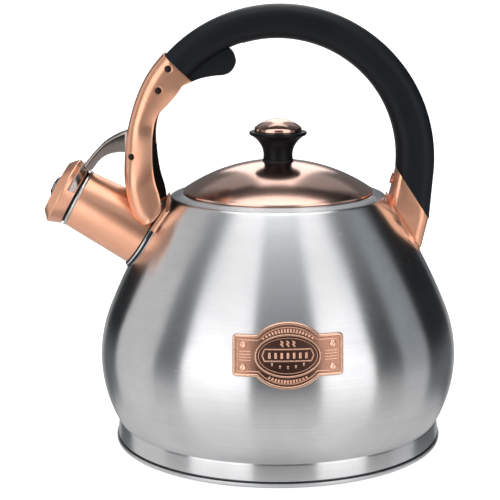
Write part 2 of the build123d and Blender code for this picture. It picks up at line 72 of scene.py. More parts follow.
LID_Z = BODY_H + 0.1
SKIRT_DROP = 12.8
KNOB_H = 15.6
BADGE_X, BADGE_Z = 5.0, 0.515 * BODY_H
BADGE_W, BADGE_H, BADGE_T = 56.0, 32.5, 1.2
OVAL_SHARE, EAR_SHARE = 0.36, 0.31      # the oval's half width and the ears' half height, as shares
OVAL = (16.2, 9.8)
HEAD_U, HEAD_V = 22.8, 5.5


# ---- materials ----------------------------------------------------------

class Nodes:
    """A material under construction."""

    def __init__(self, name):
        self.mat = bpy.data.materials.new(name)
        self.mat.use_nodes = True
        self.tree = self.mat.node_tree
        self.shader = next(n for n in self.tree.nodes if n.type == "BSDF_PRINCIPLED")
        self.coord = self.add("ShaderNodeTexCoord").outputs["Object"]

    def add(self, kind, **values):
        node = self.tree.nodes.new(kind)
        for key, value in values.items():
            setattr(node, key, value)
        return node

    def link(self, a, b):
        self.tree.links.new(a, b)

    def math(self, op, a, b=None):
        node = self.add("ShaderNodeMath", operation=op)
        for i, v in enumerate((a, b)):
            if v is None:
                continue
            if isinstance(v, (int, float)):
                node.inputs[i].default_value = v
            else:
                self.link(v, node.inputs[i])
        return node.outputs[0]

    def noise(self, vector, scale, detail=4.0, rough=0.55):
        node = self.add("ShaderNodeTexNoise")
        node.inputs["Scale"].default_value = scale
        node.inputs["Detail"].default_value = detail
        node.inputs["Roughness"].default_value = rough
        self.link(vector, node.inputs["Vector"])
        return node.outputs["Fac"]

    def spread(self, value, low, high):
        """The middle half of a noise's range, stretched from low to high."""
        node = self.add("ShaderNodeMapRange")
        node.inputs["From Min"].default_value = 0.25
        node.inputs["From Max"].default_value = 0.75
        node.inputs["To Min"].default_value = low
        node.inputs["To Max"].default_value = high
        self.link(value, node.inputs["Value"])
        return node.outputs[0]

    def mix(self, fac, a, b):
        node = self.add("ShaderNodeMix", data_type="RGBA")
        self.link(fac, node.inputs["Factor"])
        node.inputs["A"].default_value = (*a, 1)
        node.inputs["B"].default_value = (*b, 1)
        return node.outputs["Result"]

    def bump(self, height, strength, distance):
        node = self.add("ShaderNodeBump")
        node.inputs["Strength"].default_value = strength
        node.inputs["Distance"].default_value = distance
        self.link(height, node.inputs["Height"])
        self.link(node.outputs["Normal"], self.shader.inputs["Normal"])

    def set(self, **values):
        for key, value in values.items():
            self.shader.inputs[key.replace("_", " ")].default_value = value


def turned_lines(n, density):
    """A line pattern that runs round the local Z axis."""
    split = n.add("ShaderNodeSeparateXYZ")
    n.link(n.coord, split.inputs[0])
    x, y, z = split.outputs
    r = n.math("SQRT", n.math("ADD", n.math("MULTIPLY", x, x), n.math("MULTIPLY", y, y)))
    along = n.math("SUBTRACT", z, r)
    join = n.add("ShaderNodeCombineXYZ")
    n.link(n.math("MULTIPLY", x, 6.0), join.inputs[0])
    n.link(n.math("MULTIPLY", y, 6.0), join.inputs[1])
    n.link(n.math("MULTIPLY", along, density), join.inputs[2])
    return join.outputs[0]


def metal(name, color, dark, rough, spread, aniso=0.0, turned=0.0, bump=0.02, turn=0.0, soft=1.0):
    """A metal that varies between two colours. turned gives lathe lines, aniso and turn their smear."""
    n = Nodes(name)
    n.set(Metallic=soft)
    base = n.noise(n.coord, 60.0, 3.0)
    if turned:
        lines = n.noise(turned_lines(n, turned), 1.0, 5.0, 0.7)
    else:
        lines = n.noise(n.coord, 900.0, 3.0, 0.6)
    tone = n.math("ADD", n.math("MULTIPLY", base, 0.5), n.math("MULTIPLY", lines, 0.5))
    n.link(n.mix(n.spread(tone, 0.0, 1.0), dark, color), n.shader.inputs["Base Color"])
    n.link(n.spread(tone, rough + spread, rough - spread), n.shader.inputs["Roughness"])
    if aniso:
        n.set(Anisotropic=aniso, Anisotropic_Rotation=turn)
        tangent = n.add("ShaderNodeTangent", direction_type="RADIAL", axis="Z")
        n.link(tangent.outputs[0], n.shader.inputs["Tangent"])
    n.bump(lines, bump, 0.0004)
    return n.mat


def plain(name, color, dark, rough, grain, bump, shine=0.4):
    """Plastic or rubber with a fine grain."""
    n = Nodes(name)
    fine = n.noise(n.coord, grain, 4.0)
    broad = n.noise(n.coord, 45.0, 3.0)
    tone = n.math("ADD", n.math("MULTIPLY", fine, 0.5), n.math("MULTIPLY", broad, 0.5))
    n.link(n.mix(n.spread(tone, 0.0, 1.0), dark, color), n.shader.inputs["Base Color"])
    n.link(n.spread(broad, rough - 0.05, rough + 0.06), n.shader.inputs["Roughness"])
    n.set(Specular_IOR_Level=shine)
    n.bump(fine, bump, 0.0002)
    return n.mat


# a quarter turn of the anisotropy smears reflections upright, across the turned lines
UPRIGHT = 0.25
MATS = {
    "steel_body": metal("brushed_steel", (0.70, 0.70, 0.71), (0.60, 0.60, 0.61), 0.25, 0.04, 0.88, 2600.0,
                        0.02, UPRIGHT),
    "steel_bright": metal("bright_steel", (0.80, 0.80, 0.81), (0.68, 0.68, 0.69), 0.16, 0.03),
    "base_steel": metal("base_steel", (0.70, 0.71, 0.72), (0.58, 0.59, 0.60), 0.36, 0.05, 0.7, 1800.0,
                        0.04, UPRIGHT, 0.82),
    "aluminium": metal("raw_aluminium", (0.22, 0.22, 0.23), (0.12, 0.12, 0.13), 0.5, 0.06),
    "copper_lid": metal("lid_copper", (0.84, 0.55, 0.46), (0.79, 0.50, 0.41), 0.18, 0.03, 0.0, 1500.0,
                        0.005),
    "copper": metal("satin_copper", (0.98, 0.53, 0.355), (0.85, 0.41, 0.26), 0.30, 0.05, 0.0, 1500.0,
                    0.01, soft=0.90),
    "dark_chrome": metal("dark_chrome", (0.42, 0.36, 0.33), (0.25, 0.21, 0.19), 0.14, 0.04),
    "grip_black": plain("soft_black", (0.0050, 0.0085, 0.0125), (0.0028, 0.0048, 0.0072), 0.46, 900.0, 0.06,
                        0.21),
    "knob_black": plain("knob_black", (0.005, 0.006, 0.009), (0.003, 0.004, 0.006), 0.40, 500.0, 0.03, 0.18),
    "seal_black": plain("seal_rubber", (0.012, 0.012, 0.014), (0.006, 0.006, 0.007), 0.55, 800.0, 0.2),
    "badge_copper": metal("antique_copper", (0.88, 0.56, 0.42), (0.74, 0.44, 0.32), 0.24, 0.05),
    # badge_mid and badge_field: darker copper for the badge's field, partly its own antique tone and partly
    # painted shade and painted dark reflection
    "badge_mid": metal("badge_mid", (0.50, 0.27, 0.19), (0.32, 0.16, 0.11), 0.22, 0.05),
    # near-black pin heads: painted shade of the pin holes in the copper
    "pin_dark": metal("pin_dark", (0.06, 0.05, 0.05), (0.03, 0.025, 0.025), 0.35, 0.05),
    "badge_field": metal("dark_copper", (0.20, 0.10, 0.075), (0.09, 0.045, 0.035), 0.36, 0.07),
}


# ---- mesh helpers -------------------------------------------------------

def finish_mesh(obj, body, slot, nodes, angle=35.0):
    """Smooths, paints and registers a mesh, in place of the CAD nodes it replaces."""
    obj.data.set_sharp_from_angle(angle=math.radians(angle))
    for face in obj.data.polygons:
        face.use_smooth = True
    obj.data.materials.clear()
    obj.data.materials.append(MATS[slot])
    if nodes:
        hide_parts(*nodes)
    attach(obj, body)
    return obj


def to_object(name, bm):
    """A new object in metres from a finished bmesh."""
    bmesh.ops.recalc_face_normals(bm, faces=bm.faces)
    mesh = bpy.data.meshes.new(name)
    bm.to_mesh(mesh)
    bm.free()
    obj = bpy.data.objects.new(name, mesh)
    bpy.context.scene.collection.objects.link(obj)
    return obj


def rounded(points, steps):
    """A closed outline from (u, v) or (u, v, radius) corners."""
    out = []
    count = len(points)
    for i in range(count):
        p = Vector(points[i][:2])
        r = points[i][2] if len(points[i]) > 2 else 0.0
        a = Vector(points[i - 1][:2]) - p
        b = Vector(points[(i + 1) % count][:2]) - p
        if r <= 0 or a.length < 1e-6 or b.length < 1e-6:
            out.append((p.x, p.y))
            continue
        half = a.angle(b) / 2
        reach = min(r / max(math.tan(half), 1e-6), 0.49 * a.length, 0.49 * b.length)
        r = reach * math.tan(half)
        start = p + a.normalized() * reach
        end = p + b.normalized() * reach
        centre = p + (a.normalized() + b.normalized()).normalized() * math.hypot(r, reach)
        a0 = math.atan2(*(start - centre).yx)
        a1 = math.atan2(*(end - centre).yx)
        turn = (a1 - a0 + math.pi) % (2 * math.pi) - math.pi
        for k in range(steps + 1):
            t = a0 + turn * k / steps
            out.append((centre.x + r * math.cos(t), centre.y + r * math.sin(t)))
    return out


def arc(centre, radius, a0, a1, steps):
    """Points along an arc, both ends included."""
    return [(centre[0] + radius * math.cos(a0 + (a1 - a0) * k / steps),
             centre[1] + radius * math.sin(a0 + (a1 - a0) * k / steps)) for k in range(steps + 1)]


def lathe(name, outline, segments):
    """A closed outline of (radius, height) turned about Z."""
    bm = bmesh.new()
    rings = []
    for r, z in outline:
        if r < 1e-4:
            rings.append([bm.verts.new((0, 0, z * MM))] * segments)
            continue
        ring = []
        for k in range(segments):
            a = 2 * math.pi * k / segments
            ring.append(bm.verts.new((r * MM * math.cos(a), r * MM * math.sin(a), z * MM)))
        rings.append(ring)
    for i in range(len(rings)):
        low, high = rings[i - 1], rings[i]
        for k in range(segments):
            j = (k + 1) % segments
            corners = []
            for v in (low[k], low[j], high[j], high[k]):
                if v not in corners:
                    corners.append(v)
            if len(corners) > 2 and not (low[0] is low[1] and high[0] is high[1]):
                bm.faces.new(corners)
    return to_object(name, bm)


def spout_place(obj):
    """Puts a lathe's axis on the spout's, with zero at the mouth."""
    a = Vector((-math.cos(TILT), 0, math.sin(TILT)))
    x = Vector((0, -1, 0))
    y = a.cross(x)
    rot = Matrix((x, y, a)).transposed().to_4x4()
    obj.matrix_world = Matrix.Translation((MOUTH[0] * MM, 0, MOUTH[1] * MM)) @ rot
    return obj


def cut(obj, *cutters, keep=False):
    """Takes the cutters away, or keeps what they share, and bakes every modifier."""
    for cutter in cutters:
        mod = obj.modifiers.new("cut", "BOOLEAN")
        mod.object = cutter
        mod.operation = "INTERSECT" if keep else "DIFFERENCE"
        mod.solver = "EXACT"
    bpy.context.view_layer.update()
    dg = bpy.context.evaluated_depsgraph_get()
    mesh = bpy.data.meshes.new_from_object(obj.evaluated_get(dg))
    obj.modifiers.clear()
    obj.data = mesh
    for cutter in cutters:
        bpy.data.objects.remove(cutter)
    return obj


def loft(name, loops, closed=True, caps=True):
    """Joins loops of equal length; each loop is a list of points in mm."""
    bm = bmesh.new()
    rows = [[bm.verts.new(Vector(p) * MM) for p in loop] for loop in loops]
    count = len(rows[0])
    for a, b in zip(rows, rows[1:]):
        for k in range(count if closed else count - 1):
            j = (k + 1) % count
            bm.faces.new((a[k], a[j], b[j], b[k]))
    if closed and caps:
        bm.faces.new(rows[0])
        bm.faces.new(rows[-1])
    return to_object(name, bm)


# ---- curves, plates and cutters ------------------------------------------

def smooth_line(points, steps):
    """A smooth line through the points, in any number of dimensions."""
    pts = [Vector(p) for p in points]
    pts = [2 * pts[0] - pts[1]] + pts + [2 * pts[-1] - pts[-2]]
    out = []
    for i in range(1, len(pts) - 2):
        a, b, c, d = pts[i - 1:i + 3]
        for k in range(steps):
            t = k / steps
            out.append(0.5 * (2 * b + (c - a) * t + (2 * a - 5 * b + 4 * c - d) * t ** 2
                              + (3 * b - a - 3 * c + d) * t ** 3))
    return out + [pts[-2]]


def blend_width(z, z0, z1, w0, w1):
    """w0 at and beyond z0, w1 at and beyond z1, with a smooth change between."""
    t = min(max((z - z1) / (z0 - z1), 0.0), 1.0)
    t = t * t * (3 - 2 * t)
    return w1 + (w0 - w1) * t


def arch_pt(radius, deg):
    """A point of the grip's arch."""
    a = math.radians(deg)
    return ARCH[0] + radius * math.cos(a), ARCH[1] + radius * math.sin(a)


def bevelled(obj, width, segments=3, angle=30):
    """Rounds every edge sharper than the angle."""
    mod = obj.modifiers.new("bevel", "BEVEL")
    mod.width = width * MM
    mod.segments = segments
    mod.limit_method = "ANGLE"
    mod.angle_limit = math.radians(angle)
    mod.use_clamp_overlap = True
    mod.harden_normals = False
    return cut(obj)


def plate(name, outline, half, bevel=0.0, middle=0.0):
    """An outline in the XZ plane, extruded to each side of the plane y = middle."""
    bm = bmesh.new()
    near = [bm.verts.new((x * MM, (middle - half) * MM, z * MM)) for x, z in outline]
    far = [bm.verts.new((x * MM, (middle + half) * MM, z * MM)) for x, z in outline]
    bm.faces.new(near)
    bm.faces.new(list(reversed(far)))
    for i in range(len(near)):
        bm.faces.new((near[i - 1], near[i], far[i], far[i - 1]))
    obj = to_object(name, bm)
    return bevelled(obj, bevel) if bevel else obj


def box(name, x0, x1, z0, z1, half, middle=0.0):
    return plate(name, [(x0, z0), (x1, z0), (x1, z1), (x0, z1)], half, 0.0, middle)


def rod(name, x, z, radius, y0, y1):
    """A round bar along Y."""
    pts = arc((x, z), radius, 0, 2 * math.pi, 32)[:-1]
    return plate(name, pts, (y1 - y0) / 2, 0.0, (y0 + y1) / 2)


def channel(name, stations, corner, thick):
    """A folded sheet channel. Each station is (web point, edge point, half width, lean of the edge)."""
    loops = []
    for web, edge, half, lean in stations:
        d = (edge - web)
        depth = d.length
        d = d / depth
        r = min(corner, 0.6 * depth, 0.8 * half)
        flat = [(depth + (r - depth) * k / 8, lean * (1 - k / 8) ** 2 - half) for k in range(8)]
        turn = [(r - r * math.sin(a), -half + r - r * math.cos(a)) for a in
                [math.pi / 2 * k / 10 for k in range(11)]]
        side = flat + turn
        across = [(0.0, (-half + r) + 2 * (half - r) * k / 6) for k in range(1, 6)]
        other = [(u, -y) for u, y in reversed(side)]
        loops.append([(web.x + d.x * u, y, web.y + d.y * u) for u, y in side + across + other])
    obj = loft(name, loops, closed=False)
    mod = obj.modifiers.new("sheet", "SOLIDIFY")
    mod.thickness = thick * MM
    mod.offset = -1.0
    mod.use_even_offset = True
    return cut(obj)


def belly_cutter(grow=0.0):
    """All that is inside the vessel's wall, moved outward by grow."""
    wall = wall_points(grow)
    return lathe("belly_cutter", [(0, wall[0][1])] + wall + [(0, wall[-1][1])], 192)


def spout_cutter(grow=0.0):
    """All that is inside the spout's cone, from deep in the body to past the mouth."""
    s0, s1 = -70.0, 6.0
    pts = [(0, s0), (SPOUT_R + grow - s0 * TAPER, s0), (SPOUT_R + grow - s1 * TAPER, s1), (0, s1)]
    return spout_place(lathe("spout_cutter", pts, 96))


# ---- body ---------------------------------------------------------------

def top_arc():
    """Centre and radius of the arc that carries the wall up to the shoulder."""
    jx = BODY_R - UPPER_ARC + UPPER_ARC * math.cos(UPPER_TURN)
    jz = BELLY_Z + UPPER_ARC * math.sin(UPPER_TURN)
    nx, nz = -math.cos(UPPER_TURN), -math.sin(UPPER_TURN)
    dx, dz = SHOULDER_R - jx, SHOULDER_Z - jz
    top = (dx * dx + dz * dz) / (2 * (dx * nx + dz * nz))
    return jx + top * nx, jz + top * nz, top


def wall_points(out):
    """The wall from the neck up to the shoulder, moved outward by out."""
    drop, inset = BELLY_Z - NECK_Z, BODY_R - NECK_R
    low = (inset ** 2 + drop ** 2) / (2 * inset)
    lx = BODY_R - low
    ux = BODY_R - UPPER_ARC
    tx, tz, top = top_arc()
    pts = arc((lx, BELLY_Z), low + out, -math.asin(drop / (low + out)), 0, 24)
    pts += arc((ux, BELLY_Z), UPPER_ARC + out, 0, UPPER_TURN, 16)[1:]
    pts += arc((tx, tz), top + out, UPPER_TURN, math.asin((SHOULDER_Z - tz) / top), 30)[1:]
    return pts


def body_outline(out, top):
    """Foot, wall and shoulder of one face of the vessel's sheet."""
    wall = wall_points(out)
    neck, end = wall[0], wall[-1]
    foot = [(BAND_R + out, FLOOR_Z - out, 0.6), (neck[0] + 0.2, neck[1] - 0.9, 1.6)]
    shoulder = [(end[0], end[1], 5.0 + out), (SHOULDER_R - 6.0, top, 2.0)]
    return foot, wall, shoulder


def body_shell():
    outer_foot, outer, outer_top = body_outline(0, BODY_H)
    inner_foot, inner, inner_top = body_outline(-WALL, BODY_H - WALL)
    corners = [(0, FLOOR_Z)] + outer_foot + [(*p, 0) for p in outer[:-1]] + outer_top
    corners += [(MOUTH_R, BODY_H, 1.0), (MOUTH_R, BODY_H - MOUTH_LIP, 0.2),
                (MOUTH_R + WALL, BODY_H - MOUTH_LIP, 0.2)]
    corners += [(MOUTH_R + WALL, BODY_H - WALL, 0.3)] + list(reversed(inner_top))
    corners += [(*p, 0) for p in reversed(inner[:-1])] + list(reversed(inner_foot)) + [(0, FLOOR_Z + WALL)]
    obj = lathe("visual_body_shell", rounded(corners, 5), 256)
    low, high = -80, -20
    bore = [(0, low), (SPOUT_R - 1 - low * TAPER, low), (SPOUT_R - 1 - high * TAPER, high), (0, high)]
    cut(obj, spout_place(lathe("bore", bore, 96)))
    return finish_mesh(obj, "kettle", "steel_body", ["body_shell"], 40)


def base_cap():
    r = BASE_R
    corners = [(0, 0)]
    for share in (0.38, 0.56, 0.74):
        g = share * r
        corners += [(g, 0, 0.2), (g + 0.1, 0.3, 0.2), (g + 1.5, 0.3, 0.2), (g + 1.6, 0, 0.2)]
    corners += [(r - 0.3, 0, 1.7), (r, RIM_Z, 0.4), (r - 1.0, RIM_Z, 0.3), (r - 1.0, 1.0, 0.6), (0, 1.0)]
    obj = lathe("visual_base_cap", rounded(corners, 5), 256)
    return finish_mesh(obj, "kettle", "base_steel", ["base_cap"])


def spreader():
    low, high = 1.05, RIM_Z - 0.1
    corners = [(0, low), (BASE_R - 2.0, low, 0.5), (BASE_R - 1.1, 1.6, 0.2), (BASE_R - 1.1, high, 0.1),
               (BASE_R - 2.4, high, 0.2), (BASE_R - 2.4, FLOOR_Z), (0, FLOOR_Z)]
    obj = lathe("visual_heat_spreader", rounded(corners, 4), 192)
    return finish_mesh(obj, "kettle", "aluminium", ["heat_spreader"])


body_shell()
base_cap()
spreader()


# ---- grip and trigger ---------------------------------------------------

FERRULE_TOP, FERRULE_LOW = (66.0, 153.5), (83.54, 126.3)


def grip_section(half_depth, half_width):
    """A softly squared oval."""
    power, count = 3.2, 56
    out = []
    for k in range(count):
        a = 2 * math.pi * k / count
        c, t = math.cos(a), math.sin(a)
        u = math.copysign(abs(c) ** (2 / power), c) * half_depth
        v = math.copysign(abs(t) ** (2 / power), t) * half_width
        out.append((u, v))
    return out


def inner_radius(deg):
    """The grip's underside is a slightly offset arc: thinner on top, thicker at the rear."""
    return ARCH_IN + 1.0 * math.sin(math.radians(deg)) - 1.0 * math.cos(math.radians(deg))


def grip():
    count = 120
    loops = []
    for k in range(count + 1):
        deg = FRONT_DEG + (REAR_DEG - FRONT_DEG) * k / count
        low = inner_radius(deg)
        high = ARCH_OUT + 0.5 * math.cos(math.radians(deg))
        mid = (high + low) / 2
        section = grip_section((high - low) / 2, GRIP_W / 2)
        loops.append([(arch_pt(mid + u, deg)[0], v, arch_pt(mid + u, deg)[1]) for u, v in section])
    a = math.radians(REAR_DEG)
    run = Vector((math.sin(a), 0, -math.cos(a)))
    last = [Vector(p) for p in loops[-1]]
    for k in range(1, 17):
        loops.append([tuple(p + run * 2.5 * k) for p in last])   # the straight leg
    obj = loft("visual_grip", loops)
    top, low = FERRULE_TOP, FERRULE_LOW
    dx, dz = low[0] - top[0], low[1] - top[1]
    below = [(top[0] - dx, top[1] - dz), (low[0] + dx, low[1] + dz), (low[0] + dx, 60), (top[0] - dx, 60)]
    slot = [arch_pt(ARCH_OUT - 4.6, FRONT_DEG + d) for d in (6, 0, -8, -16, -24, -30)]
    slot += [arch_pt(ARCH_IN - 12, FRONT_DEG + d) for d in (-30, -20, -10, 6)]
    cut(obj, plate("below", below, 30), plate("slot", slot, 7.3))
    bevelled(obj, 0.5, 3, 50)
    return finish_mesh(obj, "kettle", "grip_black", ["grip"], 45)


def trigger():
    x, z = TRIG
    under = smooth_line([(x + 3.2, z - 2.4), (x + 10.3, z + 1.0), (x + 22.0, z + 5.8), (x + 30.0, z + 7.4),
                         (x + 35.6, z + 8.0), (x + 39.4, z + 10.0), (x + 41.7, z + 14.2),
                         (x + 40.4, z + 19.5), (x + 37.6, z + 22.6)], 8)
    upper = [(x + 37.6, z + 22.6), (x + 20.0, z + 14.5), (x + 8.0, z + 6.0), (x + 1.0, z + 3.9)]
    hub = [(x + 4.0 * math.cos(a), z + 4.0 * math.sin(a)) for a in
           [math.radians(105 + 15 * k) for k in range(14)]]
    outline = [tuple(p) for p in under] + upper[1:] + hub
    obj = plate("visual_trigger", outline, 6.5, 1.4)
    arm = plate("trigger_arm", [(x - 9.0, z - 1.5), (x - 8.2, z - 2.3), (x, z - 3.6), (x, z + 3.6),
                                (x - 8.2, z + 2.3), (x - 9.0, z + 1.5)], 5.6, 0.4)
    cut(arm, box("fork", x - 12, x - 4.2, z - 7, z + 7, 1.9))
    finish_mesh(obj, "trigger", "grip_black", ["trigger"], 40)
    finish_mesh(arm, "trigger", "grip_black", (), 40)


grip()
trigger()


# ---- brackets -----------------------------------------------------------

# the front channel's web and its open edge, from the grip down to the spout
BRACKET_WEB = [(-62.6, 217.2), (-69.0, 209.5), (-74.1, 201.1), (-78.3, 191.3), (-81.7, 180.0),
               (-83.6, 170.0), (-84.2, 160.0), (-84.1, 150.0), (-82.9, 141.0), (-81.1, 133.2),
               (-78.2, 127.2), (-73.9, 124.6)]
BRACKET_EDGE = [(-46.9, 202.6), (-52.0, 199.7), (-55.4, 194.9), (-60.2, 189.7), (-66.0, 183.2),
                (-68.2, 175.2), (-68.6, 166.7), (-68.2, 157.2), (-66.9, 148.5), (-64.8, 141.0),
                (-64.0, 133.5), (-67.6, 127.2)]


def bracket_width(z):
    """Half width: the grip's at the top, wide enough for the spout below."""
    return blend_width(z, FLARE[0], FLARE[1], GRIP_W / 2, STRADDLE)


def bracket_stations(inset=0.0, beyond=0.0, low=0.0, high=999.0):
    """Stations of the front channel between two heights, each leaning in below the grip."""
    pairs = zip(smooth_line(BRACKET_WEB, 7), smooth_line(BRACKET_EDGE, 7))
    return [(a + Vector((inset, 0)), b + Vector((beyond, 0)), bracket_width(a.y) - inset,
             blend_width(a.y, 206.0, 190.0, 0.0, 1.4)) for a, b in pairs if low < a.y < high]


def front_bracket():
    obj = channel("visual_front_bracket", bracket_stations(), 7.0, SHEET)
    slot = box("arm_slot", -92, -78, 161.2, 179.7, 6.2)
    holes = [rod("hole", *SCREW, PIN_R, -30, 30), rod("hole", *TRIG, PIN_R, -30, 30),
             rod("hole", *LIFT, LIFT_PIN_R, -30, 30)]
    cut(obj, slot, *holes, belly_cutter(), spout_cutter())
    bevelled(obj, 0.25, 2, 40)
    return finish_mesh(obj, "kettle", "copper", ["front_bracket"], 40)


def bracket_shade_sheet():
    """A dark sheet inside the channel that paints the shade on the far wall's inner face; its rear edge
    shows past the copper in two steps.
    """
    for name, beyond, low, high in (("low", 0.2, 127.5, 160.0), ("high", -0.5, 158.0, 173.0)):
        obj = channel("visual_shade_sheet_" + name, bracket_stations(SHEET + 0.15, beyond, low, high), 5.5, 0.8)
        cut(obj, box("arm_slot", -92, -76, 150, 181, 6.2), belly_cutter(),
            spout_cutter(0.2), rod("hole", *LIFT, LIFT_PIN_R, -30, 30))
        finish_mesh(obj, "kettle", "seal_black", (), 40)


def rear_bracket():
    top, low = FERRULE_TOP, FERRULE_LOW
    stations = [((66.9, 163.7), (86.6, 163.7)), (top, (85.6, 153.5)), ((63.4, 141.7), (84.9, 141.7)),
                ((61.7, 134.7), (83.9, 129.7)), ((61.6, 126.7), (83.54, 126.3)),
                ((61.6, 116.7), (81.3, 116.7)), ((61.6, 107.2), (79.2, 107.2)),
                ((61.6, 96.7), (76.8, 96.7))]
    loops = []
    for near, far in stations:
        width = far[0] - near[0]
        corners = rounded([(0, -GRIP_W / 2, 4.0), (width, -GRIP_W / 2, 6.0), (width, GRIP_W / 2, 6.0),
                           (0, GRIP_W / 2, 4.0)], 8)
        loops.append([(near[0] + u, y, near[1] + (far[1] - near[1]) * u / width) for u, y in corners])
    obj = loft("visual_rear_bracket", loops)
    dx, dz = low[0] - top[0], low[1] - top[1]
    above = [(top[0] - dx, top[1] - dz), (low[0] + dx, low[1] + dz), (low[0] + dx, 210), (top[0] - dx, 210)]
    cut(obj, plate("above", above, 30), belly_cutter(1.6))
    bevelled(obj, 0.35, 3, 40)
    return finish_mesh(obj, "kettle", "copper", ["rear_bracket"], 40)


front_bracket()
# a dark sheet inside the front channel paints the shade on its far wall
bracket_shade_sheet()
rear_bracket()


# ---- spout and whistle --------------------------------------------------

def on_spout(name, corners, body, slot, nodes, cutters=()):
    """Corners of (radius, distance past the mouth, corner radius), turned about the spout's axis."""
    obj = spout_place(lathe(name, rounded(corners, 5), 128))
    if cutters:
        world = obj.matrix_world.copy()
        cut(obj, *cutters)
        obj.matrix_world = world
    return finish_mesh(obj, body, slot, nodes)


def wall_radius(z, out):
    """Radius of the upper wall, moved outward by out."""
    join_z = BELLY_Z + (UPPER_ARC + out) * math.sin(UPPER_TURN)
    if z < join_z:
        return BODY_R - UPPER_ARC + math.sqrt((UPPER_ARC + out) ** 2 - (z - BELLY_Z) ** 2)
    tx, tz, top = top_arc()
    return tx + math.sqrt((top + out) ** 2 - (z - tz) ** 2)


def cone_r(s, inset=0.0):
    """The spout's radius at a distance past its mouth."""
    return SPOUT_R - s * TAPER - inset


on_spout("visual_spout_tube", [(cone_r(-60, 1), -60), (cone_r(-60), -60), (cone_r(-1.6), -1.6, 0.3),
                               (cone_r(-1.6, 1), -1.6, 0.3)], "kettle", "copper", ["spout_tube"],
         cutters=(belly_cutter(),))
on_spout("visual_spout_lip", [(15.4, -1.6, 0.3), (16.7, -1.6, 0.5), (16.9, -0.8, 0.6), (16.7, 0, 0.5),
                              (15.4, 0, 0.5)], "kettle", "steel_body", ["spout_lip"])
on_spout("visual_whistle_cap", [
    (1.6, 12.6, 0.2), (14.9, 12.6, 0.8), (19.6, 8.3, 0.9), (17.0, 1.3, 0.35), (16.0, 1.3, 0.3),
    (18.5, 8.1, 0.5), (14.3, 11.6, 0.5), (1.6, 11.6, 0.2)], "whistle", "copper", ["whistle_cap"])
on_spout("visual_whistle_button", [(1.0, 12.6), (6.0, 12.6, 0.3), (5.8, 13.4, 0.6), (4.0, 14.6, 1.6),
                                   (1.4, 15.0, 0.4), (1.0, 14.6, 0.2)], "whistle", "dark_chrome",
         ["whistle_button"])
on_spout("visual_whistle_seal", [(12.5, 0.15, 0.5), (15.4, 0.15, 0.5), (15.4, 2.6, 0.2), (17.3, 2.8, 0.2),
                                 (17.6, 4.6, 0.2), (12.5, 4.6, 0.4)], "whistle", "seal_black",
         ["whistle_seal"])


def arm_clip():
    """The fork at the arm's end, wrapped over the rear of the cap."""
    near, far, t = 1.8, 5.6, 0.95
    flare = 0.371
    r0, r1 = 17.0 + flare * (near - 1.3), 17.0 + flare * (far - 1.3)
    corners = [(r0, near, 0.1), (r0 + t, near, 0.35), (r1 + t, far, 0.35), (r1, far, 0.1)]
    obj = lathe("visual_arm_clip", rounded(corners, 4), 160)
    cut(obj, box("lower_half", -30, 30, -5, 15, 20, 4.9 - 20))
    finish_mesh(spout_place(obj), "whistle", "dark_chrome", (), 40)


def spout_ring(name, slot, nodes, grow, low, high):
    """A band round the spout's root, between two offsets of the belly."""
    s0, s1, gap = -60, -25, 0.02
    pts = [(cone_r(s0) + gap, s0), (cone_r(s0) + grow, s0), (cone_r(s1) + grow, s1), (cone_r(s1) + gap, s1)]
    obj = spout_place(lathe(name, pts, 128))
    bpy.context.view_layer.update()
    bm = bmesh.new()
    bm.from_mesh(obj.data)
    bmesh.ops.transform(bm, matrix=obj.matrix_world, verts=bm.verts)
    bm.to_mesh(obj.data)
    bm.free()
    obj.matrix_world = Matrix.Identity(4)
    cut(obj, belly_cutter(high), keep=True)
    cut(obj, belly_cutter(low))
    bevelled(obj, 0.2, 2, 40)
    finish_mesh(obj, "kettle", slot, nodes, 40)


spout_ring("visual_spout_seal", "seal_black", ["spout_seal"], 2.0, 0.0, 0.7)
spout_ring("visual_spout_collar", "steel_bright", ["spout_collar"], 1.5, 0.7, 1.5)
spout_ring("visual_spout_shadow", "seal_black", (), 1.1, 1.5, 2.1)


def whistle_arm():
    top = smooth_line([(-107.3, 155.9), (-104.6, 159.4), (-101.6, 162.9), (-96.8, 167.7), (-92.0, 171.0),
                       (-87.3, 173.3), (-82.6, 174.8)], 7)
    low = smooth_line([(-105.3, 152.4), (-103.2, 152.9), (-100.6, 156.2), (-97.0, 159.9), (-93.0, 162.0),
                       (-88.6, 162.9), (-84.2, 163.0)], 7)
    stations = [(a, b, 5.5, 0.5) for a, b in zip(top, low)]
    obj = channel("visual_whistle_arm", stations, 1.6, 1.0)
    bevelled(obj, 0.15, 2, 40)
    finish_mesh(obj, "whistle", "dark_chrome", ["whistle_arm"], 40)
    x, z = LIFT
    ear = [(x - 4.5, z + 12.6), (x + 1.5, z + 12.2), (x + 5.0, z + 6.0), (x + 6.2, z + 1.0),
           (x + 4.6, z - 1.7), (x + 1.0, z - 2.9), (x - 2.4, z - 1.8), (x - 4.5, z + 1.0)]
    for side in (-1, 1):
        part = plate("visual_arm_ear" + ("_near" if side < 0 else "_far"), ear, 0.5, 0.2, side * 5.0)
        cut(part, rod("hole", x, z, 1.45, -30, 30))
        finish_mesh(part, "whistle", "dark_chrome", (), 40)


arm_clip()
whistle_arm()


